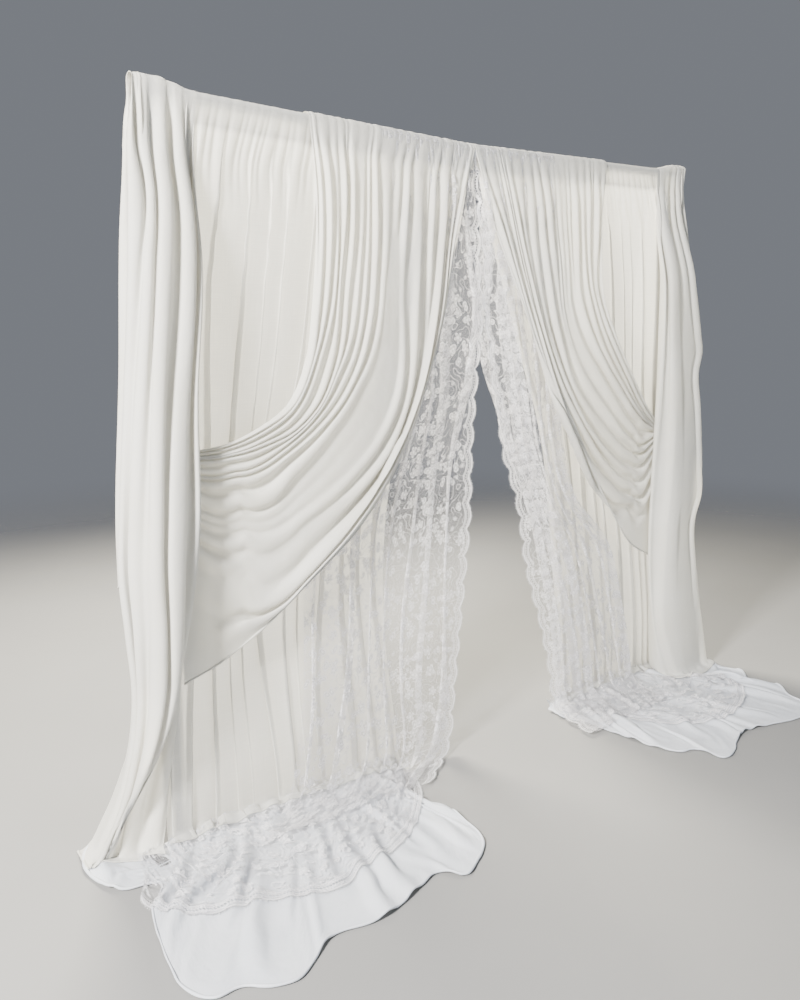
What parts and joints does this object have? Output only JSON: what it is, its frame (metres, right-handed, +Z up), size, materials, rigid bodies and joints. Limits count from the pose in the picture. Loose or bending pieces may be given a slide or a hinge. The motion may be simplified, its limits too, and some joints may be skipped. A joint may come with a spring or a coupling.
{
  "type": "ceremony backdrop",
  "caption": "Free-standing pipe stand dressed with ivory drapes, swept swags, voile and scalloped lace that pool on the floor.",
  "frame": {"origin": "bottom centre of the whole, on the floor; the crossbar stands 0.355 m behind it", "axes": "+X along the crossbar, to the right seen from the front; -Y towards the front, where the pools lie; +Z up"},
  "size_m": [3.1562, 1.0106, 2.4097],
  "materials": {
    "frame_steel": "satin zinc-plated tube",
    "plate_black": "black powder coat",
    "knob_plastic": "black moulded plastic",
    "ivory_drape": "soft ivory jersey",
    "voile": "sheer off-white voile",
    "lace": "white floral lace with a scalloped edge",
    "pool_satin": "white satin with a soft sheen"
  },
  "bodies": {
    "root": {"left_base_plate": "plate_black", "left_base_socket": "plate_black", "left_lower_upright": "frame_steel", "left_upper_upright": "frame_steel", "left_height_collar": "knob_plastic", "left_height_knob": "knob_plastic", "left_bar_bracket": "plate_black", "left_crossbar": "frame_steel", "left_swag_tie": "ivory_drape", "left_voile_curtain": "voile", "left_lace_panel": "lace", "left_swag": "ivory_drape", "left_leg_drape": "ivory_drape", "left_floor_pool": "pool_satin", "left_lace_pool": "lace", "right_base_plate": "plate_black", "right_base_socket": "plate_black", "right_lower_upright": "frame_steel", "right_upper_upright": "frame_steel", "right_height_collar": "knob_plastic", "right_height_knob": "knob_plastic", "right_bar_bracket": "plate_black", "right_crossbar": "frame_steel", "right_swag_tie": "ivory_drape", "right_voile_curtain": "voile", "right_lace_panel": "lace", "right_swag": "ivory_drape", "right_leg_drape": "ivory_drape", "right_floor_pool": "pool_satin", "right_lace_pool": "lace", "crossbar_coupler": "plate_black"}
  },
  "joints": []
}
